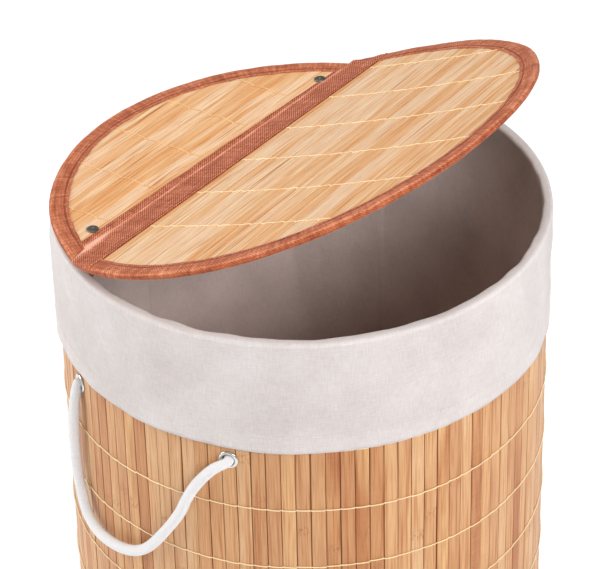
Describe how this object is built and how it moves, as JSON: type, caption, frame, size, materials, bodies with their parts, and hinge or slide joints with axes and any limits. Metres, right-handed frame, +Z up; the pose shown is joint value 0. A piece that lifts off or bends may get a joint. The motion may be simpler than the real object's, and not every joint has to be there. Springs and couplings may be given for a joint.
{
  "type": "laundry hamper with lid",
  "caption": "Round bamboo-slat laundry hamper with a removable cloth liner, rope handles and a folding two-piece lid that snaps to a bar across the mouth.",
  "frame": {"origin": "middle of the base on the floor", "axes": "+Z up; the lid's front flap opens towards -Y; the rope handles are on +X and -X"},
  "size_m": [0.3708, 0.3532, 0.7119],
  "materials": {
    "bamboo": "natural split bamboo, satin",
    "lid_bamboo": "pale split bamboo, satin",
    "thread": "twisted pale yellow thread",
    "inner_cloth": "non-woven backing",
    "hoop_wood": "bent wood band",
    "binding": "terracotta woven tape",
    "board": "thin pressed board",
    "liner": "off-white cotton blend",
    "bar_wood": "planed batten",
    "bracket": "moulded, matte",
    "steel": "plated",
    "eyelet": "nickel plated",
    "rope": "white cotton cord",
    "bronze": "antique finish"
  },
  "bodies": {
    "basket": {"wall_slats": "bamboo", "wall_threads": "thread", "backing_cloth": "inner_cloth", "top_hoop": "hoop_wood", "bottom_hoop": "hoop_wood", "top_binding": "binding", "bottom_binding": "binding", "base_board": "board", "liner": "liner", "lid_bar": "bar_wood", "bar_bracket_left": "bracket", "bar_bracket_right": "bracket", "bar_rivet_left": "steel", "bar_rivet_right": "steel", "stud_post_left": "steel", "stud_post_right": "steel", "eyelet_left_front": "eyelet", "eyelet_left_rear": "eyelet", "eyelet_right_front": "eyelet", "eyelet_right_rear": "eyelet", "washer_left_front": "steel", "washer_left_rear": "steel", "washer_right_front": "steel", "washer_right_rear": "steel", "knot_left_front": "rope", "knot_left_rear": "rope", "knot_right_front": "rope", "knot_right_rear": "rope"},
    "lid_rear": {"lid_rear_board": "board", "lid_rear_slats": "lid_bamboo", "lid_rear_threads": "thread", "lid_rear_binding": "binding", "lid_rear_band": "binding", "stud_cap_left": "bronze", "stud_cap_right": "bronze", "stud_socket_left": "steel", "stud_socket_right": "steel"},
    "lid_front": {"lid_front_board": "board", "lid_front_slats": "lid_bamboo", "lid_front_threads": "thread", "lid_front_binding": "binding", "lid_front_band": "binding"},
    "left_handle": {"rope_left": "rope"},
    "right_handle": {"rope_right": "rope"}
  },
  "joints": [
    {"name": "lid_lift", "type": "slide", "parent": "basket", "child": "lid_rear", "axis": [0, 0, 1], "range_m": [0, 0.08]},
    {"name": "lid_fold", "type": "hinge", "parent": "lid_rear", "child": "lid_front", "pos_m": [-0.0073, 0.0701, 0.60556], "axis": [-0.9983, -0.0576, 0], "range_deg": [-23.5, 135.3]},
    {"name": "left_handle_swing", "type": "hinge", "parent": "basket", "child": "left_handle", "pos_m": [-0.16656, 0, 0.4935], "axis": [0, 1, 0], "range_deg": [0, 120]},
    {"name": "right_handle_swing", "type": "hinge", "parent": "basket", "child": "right_handle", "pos_m": [0.16656, 0, 0.4935], "axis": [0, -1, 0], "range_deg": [0, 120]}
  ]
}
